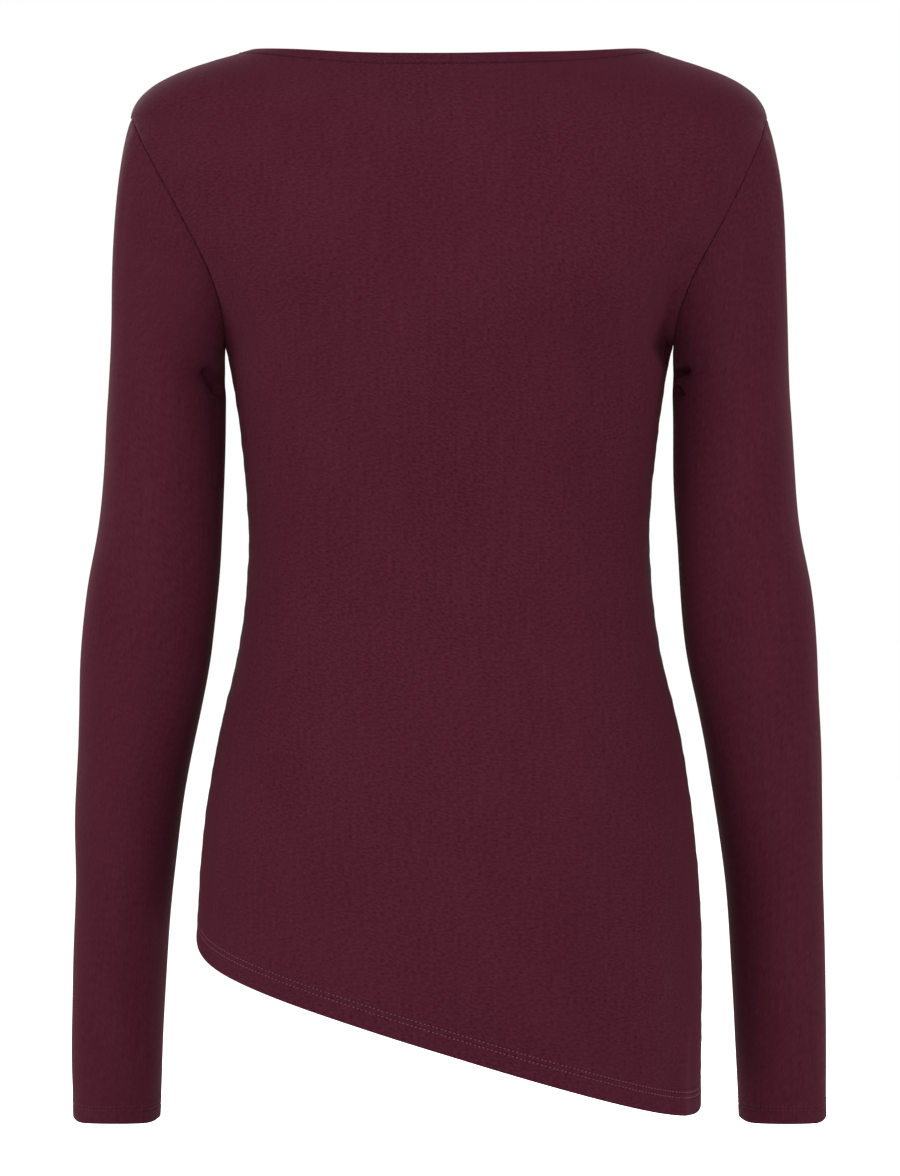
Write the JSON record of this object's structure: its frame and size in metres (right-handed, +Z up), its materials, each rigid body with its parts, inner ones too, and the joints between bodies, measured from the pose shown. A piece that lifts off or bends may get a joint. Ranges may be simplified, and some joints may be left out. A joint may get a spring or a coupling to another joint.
{
  "type": "asymmetric top",
  "caption": "Long-sleeved jersey top with a boat neck and a slanting hem, shaped as worn, with open neck, hem and cuffs.",
  "frame": {"origin": "midway between the shoulders, in the neck opening, where the wearer carries the top", "axes": "+Z up, +Y to the wearer's front, +X to the wearer's right"},
  "size_m": [0.4882, 0.2467, 0.6915],
  "materials": {
    "jersey": "fine burgundy jersey knit, matt with a soft sheen"
  },
  "bodies": {
    "root": {"back": "jersey", "front": "jersey", "left_sleeve": "jersey", "right_sleeve": "jersey"}
  },
  "joints": []
}
